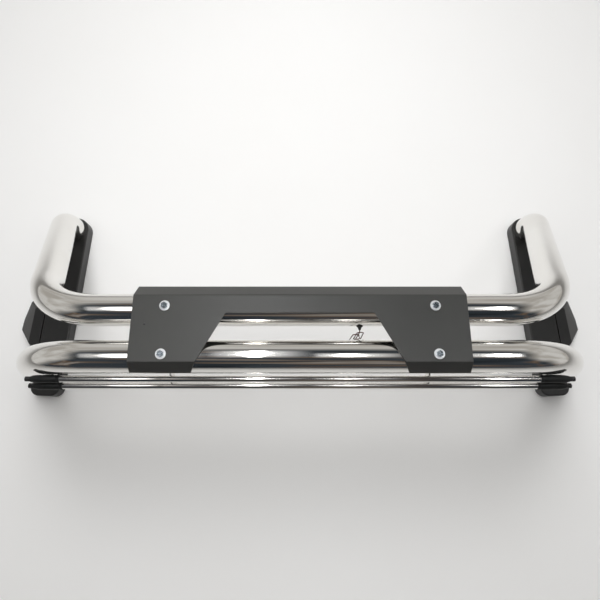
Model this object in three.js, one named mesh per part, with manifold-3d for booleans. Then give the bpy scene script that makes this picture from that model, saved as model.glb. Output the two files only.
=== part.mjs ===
// Tubular front guard: two bent stainless tubes, a bolted centre plate, two small bars and two base rails.
// Millimetres. +X is across the guard, +Y runs from the small bars to the far ends of the rails, +Z is the
// direction the guard faces. The rails' undersides lie in Z = 0, and the origin is the middle of the footprint.
import * as THREE from "three";
import { mergeVertices } from "three/addons/utils/BufferGeometryUtils.js";
import { ConvexGeometry } from "three/addons/geometries/ConvexGeometry.js";
import Module from "manifold-3d";

const wasm = await Module();
wasm.setup();

// ---------------------------------------------------------------- driving dimensions
const fitGap = 0.3; // left between pieces that touch
const boreGap = 0.3; // round a shank or a pin, on the radius

const tubeDiameter = 76.2;
const tubeWall = 2;
const tubeSpacing = 109; // from the lower tube's axis to the upper one's
const tubeHeight = 418; // the tubes' axes above the rails' undersides
const frontBendRadius = 216;
const upperCorner = 609; // half the distance between the upper tube's front corners
const upperBendRadius = 181;
const lowerCorner = 612;
const upperFootX = 770;
const upperFootReach = 377; // from the upper tube's axis to its feet
const upperFootRise = 60; // height of the upper tube's second corner over the rail
const upperFootRadius = 90;
const lowerFootX = 787;
const lowerFootRise = 48;
const lowerFootRadius = 114;

const plateWidth = 755;
const plateSheet = 3;
const plateAbove = 25.5; // face height above the upper tube's axis
const upperLipDepth = 28;
const lowerLipDepth = 21.5;
const cutOutTopWidth = 335;
const cutOutBottomWidth = 460;
const cutOutDrop = 16; // from the upper tube's axis to the cut-out's top edge
const rivetHeadDiameter = 5.4;
const rivetHeadHeight = 1;
const rivetDiameter = 3.6;
const rivetTail = 4; // behind the plate
const rivetX = -346;
const rivetDrop = 42; // from the upper tube's axis

const boltSpread = 609; // between the plate's bolts, across
const boltDiameter = 8;
const boltHeadFlats = 13;
const boltHeadHeight = 5.5;
const boltLength = 22;
const washerDiameter = 23.5;
const washerThickness = 1.8;
const insertDiameter = 11;
const insertLength = 16;

const barDiameter = 16;
const barWall = 1.5;
const barLength = 1220;
const frontBarSetback = 25; // the front bar's axis behind the tubes' axes
const barClearance = 3.8; // between the two bars' sleeves
const barSlant = THREE.MathUtils.degToRad(52.1); // from the front bar to the rear one, off straight down
const sleeveWall = 1.1;
const sleeveRim = 0.4; // how far the rim at a sleeve's mouth stands proud
const sleeveRimLength = 6;
const sleeveLength = 68;
const sleeveNoseLength = 20;
const sleeveNoseDiameter = 13;
const screwFlats = 11;
const screwHeadLength = 11;
const screwDiameter = 6;
const screwLength = 26;

const hangerX = 300;
const hangerSheet = 4;
const hangerWeb = 9; // metal left under the rear bar
const hangerOverlap = 6; // how far the hanger reaches past the lower tube's underside and axis

const railWidth = 90;
const railHeight = 38;
const railSheet = 4;
const railNearReach = 178; // from the upper tube's axis to the rail's near end
const railToe = THREE.MathUtils.degToRad(2.2); // the rails close up towards their far ends
const railCornerRadius = 26;
const railFlange = 22; // width of the inturned mounting flange
const railFlangeSheet = 4;
const railHoleDiameter = 9;
const railHoleReach = [40, 270, 470]; // from the upper foot back along the rail

const wingSheet = 3;
const wingBase = 4; // height of the wing's open underside
const wingSkirt = 8; // height of the wing's upright edge
const wingBoltReach = [338, 402]; // from the upper foot back along the rail
const wingBoltRise = 2; // above the rail's mid-height
const wingBoltSpare = 10; // thread past the wing's wall
const wingInsetSlope = 1.6; // a slanting facet moves in by this much more than the sheet

const plugThickness = 12;
const footBoltDiameter = 12;
const footBoltFlats = 19;
const footBoltHead = 7.5;
const footBoltSpare = 6; // thread past the plug

const grommetX = 138;
const grommetDiameter = 15;
const grommetNeckDiameter = 9;
const grommetLength = 9;
const leadDiameter = 2.4;
const leadStem = 12; // how far the lead drops before it is gathered into the hank
const hankWidth = 28;
const hankDrop = 92;
const hankThickness = 9;

// ---------------------------------------------------------------- sizes that follow
const tubeRadius = tubeDiameter / 2;
const plateBack = tubeHeight + tubeRadius + fitGap; // height of the plate's rear face
const plateFront = plateBack + plateSheet;
const foldShift = plateSheet * Math.tan(Math.PI / 8); // between the inner and outer lines of a 45 degree fold
const plateBelow = (tubeRadius + fitGap) * (Math.SQRT2 - 1) + foldShift + fitGap; // the lower lip clears the tube
const footLevel = railHeight + fitGap; // where the tubes' legs end
const sleeveDiameter = barDiameter + 2 * sleeveWall;
const sleeveRimDiameter = sleeveDiameter + 2 * sleeveRim;
const frontBarDrop = tubeRadius + sleeveRimDiameter / 2 + 2 * fitGap; // the sleeves pass beside the lower tube
const barPitch = sleeveRimDiameter + barClearance;
const barDrop = [frontBarDrop, frontBarDrop + barPitch * Math.cos(barSlant)];
const barSetback = [frontBarSetback, frontBarSetback + barPitch * Math.sin(barSlant)];
const wingBoltHeight = railHeight / 2 + wingBoltRise;
const railLength = upperFootReach + railNearReach;
const railRadius = railWidth / 2;

// ---------------------------------------------------------------- materials
function finish(color, roughness, metalness) {
  return () => new THREE.MeshStandardMaterial({ color, roughness, metalness });
}
const polished = finish(0xd8d6d0, 0.08, 1);
const zinc = finish(0xc9ced2, 0.3, 1);
const coatedPlate = finish(0x585856, 0.5, 0.2);
const coatedRail = finish(0x242423, 0.42, 0.2);
const mouldedBlack = finish(0x1c1e1e, 0.45, 0);
const rubberBlack = finish(0x161616, 0.85, 0);
const leadJacket = finish(0x4a1512, 0.5, 0);
const bareSteel = finish(0x8c8c8a, 0.45, 0.9);

// ---------------------------------------------------------------- solids
// A geometry as a manifold solid, with shared vertices merged.
function solid(geometry) {
  const bare = geometry.clone();
  for (const name of Object.keys(bare.attributes)) {
    if (name !== "position") bare.deleteAttribute(name);
  }
  const merged = mergeVertices(bare, 1e-4);
  return new wasm.Manifold(
    new wasm.Mesh({
      numProp: 3,
      vertProperties: new Float32Array(merged.attributes.position.array),
      triVerts: new Uint32Array(merged.index.array),
    }),
  );
}

function geometryOf(body) {
  const mesh = body.getMesh();
  const geometry = new THREE.BufferGeometry();
  geometry.setAttribute("position", new THREE.BufferAttribute(mesh.vertProperties, 3));
  geometry.setIndex(new THREE.BufferAttribute(mesh.triVerts, 1));
  geometry.computeVertexNormals();
  return geometry;
}

// The base geometry with each cutter taken away.
function cut(base, cutters) {
  let body = solid(base);
  for (const cutter of cutters) body = body.subtract(solid(cutter));
  return geometryOf(body);
}

function join(geometries) {
  let body = solid(geometries[0]);
  for (const geometry of geometries.slice(1)) body = body.add(solid(geometry));
  return geometryOf(body);
}

// A round or hexagonal prism from one point to another.
function rod(from, to, radius, sides = 24) {
  const span = new THREE.Vector3().subVectors(to, from);
  const geometry = new THREE.CylinderGeometry(radius, radius, span.length(), sides);
  const turn = new THREE.Quaternion().setFromUnitVectors(
    new THREE.Vector3(0, 1, 0),
    span.clone().normalize(),
  );
  geometry.applyQuaternion(turn);
  const middle = new THREE.Vector3().addVectors(from, to).multiplyScalar(0.5);
  return geometry.translate(middle.x, middle.y, middle.z);
}

const acrossFlats = (flats) => flats / Math.sqrt(3); // a hexagon's corner radius
const at = (x, y, z) => new THREE.Vector3(x, y, z);

// A hexagon-headed screw along an axis: its head starts at `seat` and its shank runs the other way.
function hexScrew(seat, outward, flats, headHeight, radius, length) {
  const top = seat.clone().addScaledVector(outward, headHeight);
  const tip = seat.clone().addScaledVector(outward, -length);
  const overlap = seat.clone().addScaledVector(outward, headHeight / 2);
  return join([rod(seat, top, acrossFlats(flats), 6), rod(tip, overlap, radius, 16)]);
}

function ring(from, to, outer, inner, sides = 28) {
  const along = new THREE.Vector3().subVectors(to, from).normalize();
  const before = from.clone().sub(along);
  const after = to.clone().add(along);
  return cut(rod(from, to, outer, sides), [rod(before, after, inner, sides)]);
}

// ---------------------------------------------------------------- bent tubes
// A centreline through corner points, each rounded by its bend radius, with stations only where it turns.
class BentPath extends THREE.Curve {
  constructor(corners, radii, turnPerStation = THREE.MathUtils.degToRad(10)) {
    super();
    this.points = [corners[0].clone()];
    this.tangents = [corners[1].clone().sub(corners[0]).normalize()];
    for (let i = 1; i < corners.length - 1; i++) {
      const corner = corners[i];
      const into = corner.clone().sub(corners[i - 1]).normalize();
      const out = corners[i + 1].clone().sub(corner).normalize();
      const turn = into.angleTo(out);
      const radius = radii[i - 1];
      const toCentre = out.clone().addScaledVector(into, -into.dot(out)).normalize();
      const start = corner.clone().addScaledVector(into, -radius * Math.tan(turn / 2));
      const centre = start.clone().addScaledVector(toCentre, radius);
      const stations = Math.max(2, Math.ceil(turn / turnPerStation));
      for (let k = 0; k <= stations; k++) {
        const angle = (turn * k) / stations;
        const point = centre.clone().addScaledVector(into, radius * Math.sin(angle));
        this.points.push(point.addScaledVector(toCentre, -radius * Math.cos(angle)));
        const tangent = into.clone().multiplyScalar(Math.cos(angle));
        this.tangents.push(tangent.addScaledVector(toCentre, Math.sin(angle)));
      }
    }
    this.points.push(corners.at(-1).clone());
    this.tangents.push(this.tangents.at(-1).clone());
  }
  get steps() {
    return this.points.length - 1;
  }
  station(list, t, target) {
    const place = t * this.steps;
    const low = Math.min(Math.floor(place + 1e-9), this.steps - 1);
    return target.lerpVectors(list[low], list[low + 1], place - low);
  }
  getPoint(t, target = new THREE.Vector3()) {
    return this.station(this.points, t, target);
  }
  getPointAt(u, target = new THREE.Vector3()) {
    return this.getPoint(u, target);
  }
  getTangent(t, target = new THREE.Vector3()) {
    return this.station(this.tangents, t, target).normalize();
  }
  getTangentAt(u, target = new THREE.Vector3()) {
    return this.getTangent(u, target);
  }
}

function circlePoints(radius, sides) {
  const points = [];
  for (let i = 0; i < sides; i++) {
    const angle = (2 * Math.PI * i) / sides;
    points.push(new THREE.Vector2(radius * Math.cos(angle), radius * Math.sin(angle)));
  }
  return points;
}

function tubeAlong(path, radius, wall, sides = 20) {
  const section = new THREE.Shape(circlePoints(radius, sides));
  section.holes.push(new THREE.Path(circlePoints(radius - wall, sides).reverse()));
  return new THREE.ExtrudeGeometry(section, { steps: path.steps, extrudePath: path });
}

// Corner points on the right-hand side, mirrored to make the whole centreline from left to right.
function mirrored(corners) {
  const left = corners.map((point) => at(-point.x, point.y, point.z)).reverse();
  return [...left, ...corners];
}

// ---------------------------------------------------------------- assembly
const guard = new THREE.Group();
const frame = new THREE.Group(); // pieces in the guard's own frame, Y measured from the upper tube's axis
guard.add(frame);

function place(parent, name, geometry, material) {
  const mesh = new THREE.Mesh(geometry, material());
  mesh.name = name;
  parent.add(mesh);
  return mesh;
}

const sides = [
  ["left", -1],
  ["right", 1],
];
const lowerY = -tubeSpacing;
const boltPlaces = [];
for (const [sideName, side] of sides) {
  boltPlaces.push([`upper_${sideName}`, (side * boltSpread) / 2, 0]);
  boltPlaces.push([`lower_${sideName}`, (side * boltSpread) / 2, lowerY]);
}

// Main tubes, with a hole in front for each threaded insert and one in the upper tube for the grommet.
function insertHole(x, y) {
  const top = tubeHeight + tubeRadius + 1;
  return rod(at(x, y, top - insertLength), at(x, y, top), insertDiameter / 2 + boreGap, 20);
}
const upperPath = new BentPath(
  mirrored([
    at(upperCorner, 0, tubeHeight),
    at(upperFootX, upperFootReach, railHeight + upperFootRise),
    at(upperFootX, upperFootReach, footLevel),
  ]),
  [upperFootRadius, upperBendRadius, upperBendRadius, upperFootRadius],
);
const lowerPath = new BentPath(
  mirrored([
    at(lowerCorner, lowerY, tubeHeight),
    at(lowerFootX, lowerY, railHeight + lowerFootRise),
    at(lowerFootX, lowerY, footLevel),
  ]),
  [lowerFootRadius, frontBendRadius, frontBendRadius, lowerFootRadius],
);
const grommetHole = rod(
  at(grommetX, 0, tubeHeight),
  at(grommetX, -tubeRadius - 5, tubeHeight),
  grommetNeckDiameter / 2 + boreGap,
  20,
);
const holesIn = (row) => boltPlaces.filter(([, , y]) => y === row).map(([, x, y]) => insertHole(x, y));
place(
  frame,
  "upper_tube",
  cut(tubeAlong(upperPath, tubeRadius, tubeWall), [...holesIn(0), grommetHole]),
  polished,
);
place(frame, "lower_tube", cut(tubeAlong(lowerPath, tubeRadius, tubeWall), holesIn(lowerY)), polished);

// Centre plate: a folded section swept across, with the cut-out and its holes taken away.
function plateSection() {
  const top = plateAbove;
  const bottom = lowerY - plateBelow;
  const edge = plateSheet * Math.SQRT1_2;
  const outline = new THREE.Shape();
  outline.moveTo(top, plateFront);
  outline.lineTo(top + upperLipDepth, plateFront - upperLipDepth);
  outline.lineTo(top + upperLipDepth - edge, plateFront - upperLipDepth - edge);
  outline.lineTo(top - foldShift, plateBack);
  outline.lineTo(bottom + foldShift, plateBack);
  outline.lineTo(bottom - lowerLipDepth + edge, plateFront - lowerLipDepth - edge);
  outline.lineTo(bottom - lowerLipDepth, plateFront - lowerLipDepth);
  outline.lineTo(bottom, plateFront);
  return outline;
}
function centrePlate() {
  const sheet = new THREE.ExtrudeGeometry(plateSection(), { depth: plateWidth, bevelEnabled: false });
  // The section's first axis becomes Y and its second Z, so the sweep runs along X.
  const axes = new THREE.Matrix4().makeBasis(at(0, 1, 0), at(0, 0, 1), at(1, 0, 0));
  sheet.applyMatrix4(axes).translate(-plateWidth / 2, 0, 0);
  const low = lowerY - plateBelow - lowerLipDepth - 10;
  const slope = (cutOutBottomWidth - cutOutTopWidth) / 2 / (tubeSpacing + plateBelow - cutOutDrop);
  const lowWidth = cutOutTopWidth / 2 + slope * (-cutOutDrop - low);
  const opening = new THREE.Shape([
    new THREE.Vector2(-cutOutTopWidth / 2, -cutOutDrop),
    new THREE.Vector2(cutOutTopWidth / 2, -cutOutDrop),
    new THREE.Vector2(lowWidth, low),
    new THREE.Vector2(-lowWidth, low),
  ]);
  const window = new THREE.ExtrudeGeometry(opening, { depth: 80, bevelEnabled: false });
  window.translate(0, 0, plateFront - 60);
  const holeAt = (x, y, diameter) =>
    rod(at(x, y, plateBack - 5), at(x, y, plateFront + 5), diameter / 2, 20);
  const holes = boltPlaces.map(([, x, y]) => holeAt(x, y, boltDiameter + 1));
  return cut(sheet, [window, ...holes, holeAt(rivetX, -rivetDrop, rivetDiameter + 2 * boreGap)]);
}
place(frame, "centre_plate", centrePlate(), coatedPlate);

const onRivet = (z) => at(rivetX, -rivetDrop, z);
const rivetSeat = plateFront + fitGap;
const rivetTop = rivetSeat + rivetHeadHeight;
place(
  frame,
  "plate_rivet",
  join([
    rod(onRivet(plateBack - rivetTail), onRivet(rivetSeat + rivetHeadHeight / 2), rivetDiameter / 2, 16),
    rod(onRivet(rivetSeat), onRivet(rivetTop), rivetHeadDiameter / 2, 20),
  ]),
  mouldedBlack,
);

const forward = at(0, 0, 1);
for (const [where, x, y] of boltPlaces) {
  const washerTop = plateFront + fitGap + washerThickness;
  place(
    frame,
    `plate_washer_${where}`,
    ring(
      at(x, y, plateFront + fitGap),
      at(x, y, washerTop),
      washerDiameter / 2,
      boltDiameter / 2 + boreGap,
    ),
    zinc,
  );
  place(
    frame,
    `plate_bolt_${where}`,
    hexScrew(
      at(x, y, washerTop + fitGap),
      forward,
      boltHeadFlats,
      boltHeadHeight,
      boltDiameter / 2,
      boltLength,
    ),
    zinc,
  );
  const insertTop = tubeHeight + tubeRadius - fitGap;
  place(
    frame,
    `threaded_insert_${where}`,
    ring(
      at(x, y, insertTop - insertLength),
      at(x, y, insertTop),
      insertDiameter / 2,
      boltDiameter / 2 + boreGap,
      20,
    ),
    bareSteel,
  );
}

// Small bars, the moulded sleeves on their ends and the screws that hold the sleeves.
const barNames = ["front", "rear"];
const barAxis = (index) => [lowerY - barDrop[index], tubeHeight - barSetback[index]];
// A sleeve's outline from its mouth to its nose, for a lathe: distance from the axis, and distance along it.
function sleeveProfile() {
  const bore = barDiameter / 2 + boreGap;
  const blind = sleeveLength - sleeveNoseLength / 2;
  const screwHole = screwDiameter / 2 + boreGap;
  return [
    [bore, 0],
    [sleeveRimDiameter / 2, 0],
    [sleeveRimDiameter / 2, sleeveRimLength],
    [sleeveDiameter / 2, sleeveRimLength + 1],
    [sleeveDiameter / 2, sleeveLength - sleeveNoseLength],
    [(sleeveDiameter + sleeveNoseDiameter) / 4 + 1, sleeveLength - sleeveNoseLength / 3],
    [sleeveNoseDiameter / 2, sleeveLength],
    [screwHole, sleeveLength],
    [screwHole, blind],
    [bore, blind],
    [bore, 0],
  ].map(([r, along]) => new THREE.Vector2(r, along));
}
barNames.forEach((barName, index) => {
  const [y, z] = barAxis(index);
  const ends = [at(-barLength / 2, y, z), at(barLength / 2, y, z)];
  place(frame, `${barName}_bar`, ring(...ends, barDiameter / 2, barDiameter / 2 - barWall, 20), polished);
  for (const [sideName, side] of sides) {
    const mouth = barLength / 2 - (sleeveLength - sleeveNoseLength / 2) + fitGap;
    const sleeve = new THREE.LatheGeometry(sleeveProfile(), 20);
    sleeve.rotateZ(-Math.PI / 2).translate(mouth, y, z);
    if (side < 0) sleeve.rotateZ(Math.PI).translate(0, 2 * y, 0);
    place(frame, `${barName}_bar_sleeve_${sideName}`, sleeve, mouldedBlack);
    const outward = at(side, 0, 0);
    const seat = at(side * (mouth + sleeveLength + fitGap), y, z);
    place(
      frame,
      `${barName}_sleeve_screw_${sideName}`,
      hexScrew(seat, outward, screwFlats, screwHeadLength, screwDiameter / 2, screwLength),
      mouldedBlack,
    );
  }
});

// Hangers: a plate behind each lower leg of the centre plate, notched for the lower tube and both bars.
function hanger(x) {
  const [frontY, frontZ] = barAxis(0);
  const [rearY, rearZ] = barAxis(1);
  const barRadius = barDiameter / 2;
  const foot = rearZ - barRadius - hangerWeb;
  const tubeUnderside = tubeHeight - tubeRadius;
  const outline = new THREE.Shape([
    new THREE.Vector2(frontY + 2 * barRadius, frontZ - barRadius / 4),
    new THREE.Vector2(frontY + barRadius / 2, frontZ - barRadius / 2),
    new THREE.Vector2(rearY + barRadius / 2, rearZ),
    new THREE.Vector2(rearY + barRadius / 2, foot),
    new THREE.Vector2(frontY + barRadius, foot),
    new THREE.Vector2(lowerY - hangerOverlap, tubeUnderside - hangerOverlap),
    new THREE.Vector2(lowerY - hangerOverlap, tubeUnderside + hangerOverlap),
  ]);
  const sheet = new THREE.ExtrudeGeometry(outline, { depth: hangerSheet, bevelEnabled: false });
  const axes = new THREE.Matrix4().makeBasis(at(0, 1, 0), at(0, 0, 1), at(1, 0, 0));
  sheet.applyMatrix4(axes).translate(x - hangerSheet / 2, 0, 0);
  const cutter = (y, z, radius) =>
    rod(at(x - hangerSheet, y, z), at(x + hangerSheet, y, z), radius + fitGap, 48);
  return cut(sheet, [
    cutter(lowerY, tubeHeight, tubeRadius),
    cutter(frontY, frontZ, barRadius),
    cutter(rearY, rearZ, barRadius),
  ]);
}
for (const [sideName, side] of sides) {
  place(frame, `bar_hanger_${sideName}`, hanger(side * hangerX), polished);
}

// Base rails. In a rail's own frame the upper foot is the origin, Y runs along the rail and X is outboard.
function railOutline(side, inset) {
  const half = railRadius - inset;
  const near = -railLength + inset;
  const corner = Math.max(railCornerRadius - inset, 1);
  const outline = new THREE.Shape();
  const arc = (x, y, radius, from, to) => {
    const pieces = Math.max(3, Math.ceil(Math.abs(to - from) / THREE.MathUtils.degToRad(15)));
    for (let i = 0; i <= pieces; i++) {
      const angle = from + ((to - from) * i) / pieces;
      const point = [side * (x + radius * Math.cos(angle)), y + radius * Math.sin(angle)];
      if (outline.curves.length === 0 && outline.currentPoint.length() === 0) outline.moveTo(...point);
      else outline.lineTo(...point);
    }
  };
  arc(0, 0, half, 0, Math.PI);
  arc(-half + corner, near + corner, corner, Math.PI, 1.5 * Math.PI);
  arc(half - corner, near + corner, corner, 1.5 * Math.PI, 2 * Math.PI);
  return outline;
}
function slab(outline, low, high) {
  const depth = high - low;
  return new THREE.ExtrudeGeometry(outline, { depth, bevelEnabled: false }).translate(0, 0, low);
}
const lowerFootOnRail = (side) => {
  const run = new THREE.Vector2(side * (lowerFootX - upperFootX), lowerY - upperFootReach);
  return run.rotateAround(new THREE.Vector2(), -side * railToe);
};
// A line across a rail's outer wall at a wing bolt, for drilling the wall and the wing.
const acrossWall = (side, reach) => [
  at(side * (railRadius - 20), -reach, wingBoltHeight),
  at(side * (railRadius + 20), -reach, wingBoltHeight),
];
function rail(side) {
  const lowerFoot = lowerFootOnRail(side);
  const drill = (x, y, low, high, diameter) => rod(at(x, y, low), at(x, y, high), diameter / 2, 20);
  const cutters = [
    slab(railOutline(side, railSheet), railFlangeSheet, railHeight - railSheet),
    slab(railOutline(side, railSheet + railFlange), -1, railFlangeSheet + 1),
  ];
  for (const [x, y] of [[0, 0], lowerFoot.toArray()]) {
    cutters.push(drill(x, y, railHeight - railSheet - 2, railHeight + 2, footBoltDiameter + 2 * boreGap));
  }
  const flangeLine = railRadius - railSheet - railFlange / 2;
  for (const reach of railHoleReach) {
    for (const edge of [-1, 1]) {
      cutters.push(drill(edge * flangeLine, -reach, -2, railFlangeSheet + 2, railHoleDiameter));
    }
  }
  for (const reach of wingBoltReach) {
    cutters.push(rod(...acrossWall(side, reach), boltDiameter / 2 + boreGap, 16));
  }
  return cut(slab(railOutline(side, 0), 0, railHeight), cutters);
}

// Side wing: a pressed cover with a flat top and sloping facets, open underneath.
// Each row is a corner: distance outboard of the rail, reach back along the rail, and whether it is on the top.
const wingCorners = [
  [0, 262, true],
  [33, 281, true],
  [34, 392, true],
  [0, 424, true],
  [0, 212, false],
  [38, 225, false],
  [66, 253, false],
  [78, 313, false],
  [80, 347, false],
  [47, 394, false],
  [0, 440, false],
];
function wingHull(side, inset, low) {
  const points = [];
  const middle = new THREE.Vector2(30, 330);
  for (const [out, reach, top] of wingCorners) {
    const toward = middle.clone().sub(new THREE.Vector2(out, reach)).normalize();
    const across = toward.x * inset * (out > 0 ? wingInsetSlope : 1);
    const x = side * (railRadius + fitGap + out + across);
    const y = -(reach + toward.y * inset * wingInsetSlope);
    points.push(at(x, y, top ? railHeight - inset : wingSkirt + wingBase - inset / 2));
    points.push(at(x, y, low));
  }
  return new ConvexGeometry(points);
}
function wing(side) {
  const cutters = [wingHull(side, wingSheet, wingBase - 3)];
  for (const reach of wingBoltReach) {
    cutters.push(rod(...acrossWall(side, reach), boltDiameter / 2 + boreGap, 16));
  }
  return cut(wingHull(side, 0, wingBase), cutters);
}

for (const [sideName, side] of sides) {
  const base = new THREE.Group();
  base.position.set(side * upperFootX, upperFootReach, 0);
  base.rotation.z = side * railToe;
  frame.add(base);
  place(base, `base_rail_${sideName}`, rail(side), coatedRail);
  place(base, `side_wing_${sideName}`, wing(side), coatedRail);
  wingBoltReach.forEach((reach, index) => {
    const innerFace = side * (railRadius - railSheet - fitGap);
    const outward = at(-side, 0, 0);
    place(
      base,
      `wing_bolt_${sideName}_${index + 1}`,
      hexScrew(
        at(innerFace, -reach, wingBoltHeight),
        outward,
        boltHeadFlats,
        boltHeadHeight,
        boltDiameter / 2,
        railSheet + wingSheet + 2 * fitGap + wingBoltSpare,
      ),
      zinc,
    );
  });
  const feet = { upper: new THREE.Vector2(0, 0), lower: lowerFootOnRail(side) };
  for (const [footName, foot] of Object.entries(feet)) {
    const plugRadius = tubeRadius - tubeWall - 2 * fitGap;
    const bottom = footLevel;
    place(
      base,
      `leg_plug_${footName}_${sideName}`,
      ring(
        at(foot.x, foot.y, bottom),
        at(foot.x, foot.y, bottom + plugThickness),
        plugRadius,
        footBoltDiameter / 2 + boreGap,
        24,
      ),
      bareSteel,
    );
    place(
      base,
      `leg_bolt_${footName}_${sideName}`,
      hexScrew(
        at(foot.x, foot.y, railHeight - railSheet - fitGap),
        at(0, 0, -1),
        footBoltFlats,
        footBoltHead,
        footBoltDiameter / 2,
        railSheet + plugThickness + footBoltSpare,
      ),
      zinc,
    );
  }
}

// Grommet and lead: the lead leaves the upper tube's near side, hangs down and ends in a small hank.
function grommet() {
  const neck = grommetNeckDiameter / 2;
  const hole = leadDiameter / 2 + boreGap;
  const surface = tubeRadius + fitGap + 0.4;
  const profile = [
    [hole, -6],
    [neck, -6],
    [neck, 0],
    [grommetDiameter / 2, 0],
    [grommetDiameter / 2, 1.5],
    [neck, 3.5],
    [leadDiameter, grommetLength],
    [hole, grommetLength],
    [hole, -6],
  ].map(([r, along]) => new THREE.Vector2(r, along));
  const shape = new THREE.LatheGeometry(profile, 20);
  // The lathe's axis is turned from +Y to -Y.
  return shape.rotateZ(Math.PI).translate(grommetX, -surface, tubeHeight);
}
place(frame, "lead_grommet", grommet(), rubberBlack);

const leadExit = at(grommetX, -tubeRadius - grommetLength - 2 * fitGap, tubeHeight);
const leadRoute = [
  [0, 0, 0],
  [0, -2.6, -0.4],
  [-0.3, -4.4, -1.8],
  [-0.8, -5.3, -4.2],
  [-1, -5.5, -leadStem * 0.66],
  [-1, -5.5, -leadStem],
].map(([x, y, z]) => at(x, y, z).add(leadExit));
const leadPath = new THREE.CatmullRomCurve3(leadRoute);
place(
  frame,
  "light_lead",
  new THREE.ExtrudeGeometry(new THREE.Shape(circlePoints(leadDiameter / 2, 8)), {
    steps: 9,
    extrudePath: leadPath,
  }),
  leadJacket,
);
function hank() {
  const end = leadRoute.at(-1);
  const radius = hankWidth / 2;
  const outline = new THREE.Shape();
  outline.absarc(0, -radius, radius, 0, Math.PI, false);
  outline.absarc(0, -hankDrop + radius, radius, Math.PI, 2 * Math.PI, false);
  const body = new THREE.ExtrudeGeometry(outline, {
    depth: hankThickness,
    bevelEnabled: false,
    curveSegments: 6,
  });
  body.translate(0, 0, -hankThickness / 2).rotateX(Math.PI / 2);
  return body.translate(end.x, end.y, end.z - fitGap);
}
place(frame, "lead_hank", hank(), leadJacket);

// The footprint's middle is the origin.
const footprint = new THREE.Box3().setFromObject(frame, true);
frame.position.y = -(footprint.min.y + footprint.max.y) / 2;

export default guard;
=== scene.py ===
"""Looks for the tubular guard: polished tubes, coated plate and rails, moulded sleeves and a limp lead.

Everything is in metres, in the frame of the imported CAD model: +X across the guard, +Y towards the far ends of
the base rails, +Z the way the plate faces. Fine meshes stand in for the faceted CAD solids.
"""

import math

import bmesh
import bpy
from mathutils import Matrix, Vector


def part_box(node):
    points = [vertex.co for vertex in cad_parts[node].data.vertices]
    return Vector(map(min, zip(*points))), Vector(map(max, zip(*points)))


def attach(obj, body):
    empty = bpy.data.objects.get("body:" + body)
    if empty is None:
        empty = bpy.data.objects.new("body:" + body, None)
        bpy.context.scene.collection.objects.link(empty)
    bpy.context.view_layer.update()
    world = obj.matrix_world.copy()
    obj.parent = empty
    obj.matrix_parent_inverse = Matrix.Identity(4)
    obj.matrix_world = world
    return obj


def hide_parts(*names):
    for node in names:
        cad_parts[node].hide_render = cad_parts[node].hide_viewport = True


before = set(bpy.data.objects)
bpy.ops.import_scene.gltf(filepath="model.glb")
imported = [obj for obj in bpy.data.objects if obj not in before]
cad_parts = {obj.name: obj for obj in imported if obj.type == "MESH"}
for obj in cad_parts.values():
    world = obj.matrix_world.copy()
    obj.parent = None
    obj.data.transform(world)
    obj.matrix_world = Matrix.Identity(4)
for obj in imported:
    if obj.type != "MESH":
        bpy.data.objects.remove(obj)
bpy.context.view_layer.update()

MM = 0.001

# ---------------------------------------------------------------- sizes shared with the CAD model
TUBE_RADIUS = 38.1 * MM
TUBE_WALL = 2 * MM
TUBE_HEIGHT = 418 * MM
RAIL_WIDTH = 90 * MM
RAIL_HEIGHT = 38 * MM
RAIL_SHEET = 4 * MM
RAIL_FLANGE = 22 * MM
RAIL_CORNER = 26 * MM
RAIL_LENGTH = 555 * MM
RAIL_TOE = math.radians(2.2)
RAIL_HOLE = 9 * MM
RAIL_HOLE_REACH = (40 * MM, 270 * MM, 470 * MM)
WING_BOLT_REACH = (338 * MM, 402 * MM)
WING_BOLT_RISE = 2 * MM
UPPER_CORNER = 609 * MM
UPPER_FOOT = (770 * MM, 377 * MM)
UPPER_FOOT_RISE = 60 * MM
UPPER_BENDS = (90 * MM, 181 * MM)  # at the foot, and at the front corner
LOWER_CORNER = 612 * MM
LOWER_FOOT_X = 787 * MM
LOWER_FOOT_RISE = 48 * MM
LOWER_BENDS = (114 * MM, 216 * MM)
FIT = 0.3 * MM
PLATE_SHEET = 3 * MM
PLATE_ABOVE = 25.5 * MM
UPPER_LIP = 28 * MM
LOWER_LIP = 21.5 * MM
CUT_OUT_TOP = 335 * MM
CUT_OUT_BOTTOM = 460 * MM
CUT_OUT_DROP = 16 * MM
PLATE_BOLT_HOLE = 9 * MM
RIVET_HOLE = 4.2 * MM
BAR_RADIUS = 8 * MM
BAR_WALL = 1.5 * MM
GROMMET_LENGTH = 9 * MM

# Hexagon heads: across flats, head height, shank.
M8 = (13 * MM, 5.5 * MM, 8 * MM)
M12 = (19 * MM, 7.5 * MM, 12 * MM)
SLEEVE_SCREW = (11 * MM, 11 * MM, 6 * MM)


def middle(node):
    """The middle of a CAD node's box."""
    low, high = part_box(node)
    return (Vector(low) + Vector(high)) / 2


UPPER_Y = middle("plate_bolt_upper_left").y
LOWER_Y = middle("plate_bolt_lower_left").y
PLATE_BACK = TUBE_HEIGHT + TUBE_RADIUS + FIT
PLATE_FRONT = PLATE_BACK + PLATE_SHEET
SIDES = (("left", -1), ("right", 1))
CORNERS = ("upper_left", "upper_right", "lower_left", "lower_right")

# ---------------------------------------------------------------- camera
CAMERA_LENS = 25.98
CAMERA_BELOW = 0.2449  # from the upper tube's axis, towards the small bars
CAMERA_RISE = 0.9843  # over the tubes' axes
CAMERA_TILT = math.radians(15.3)

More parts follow.
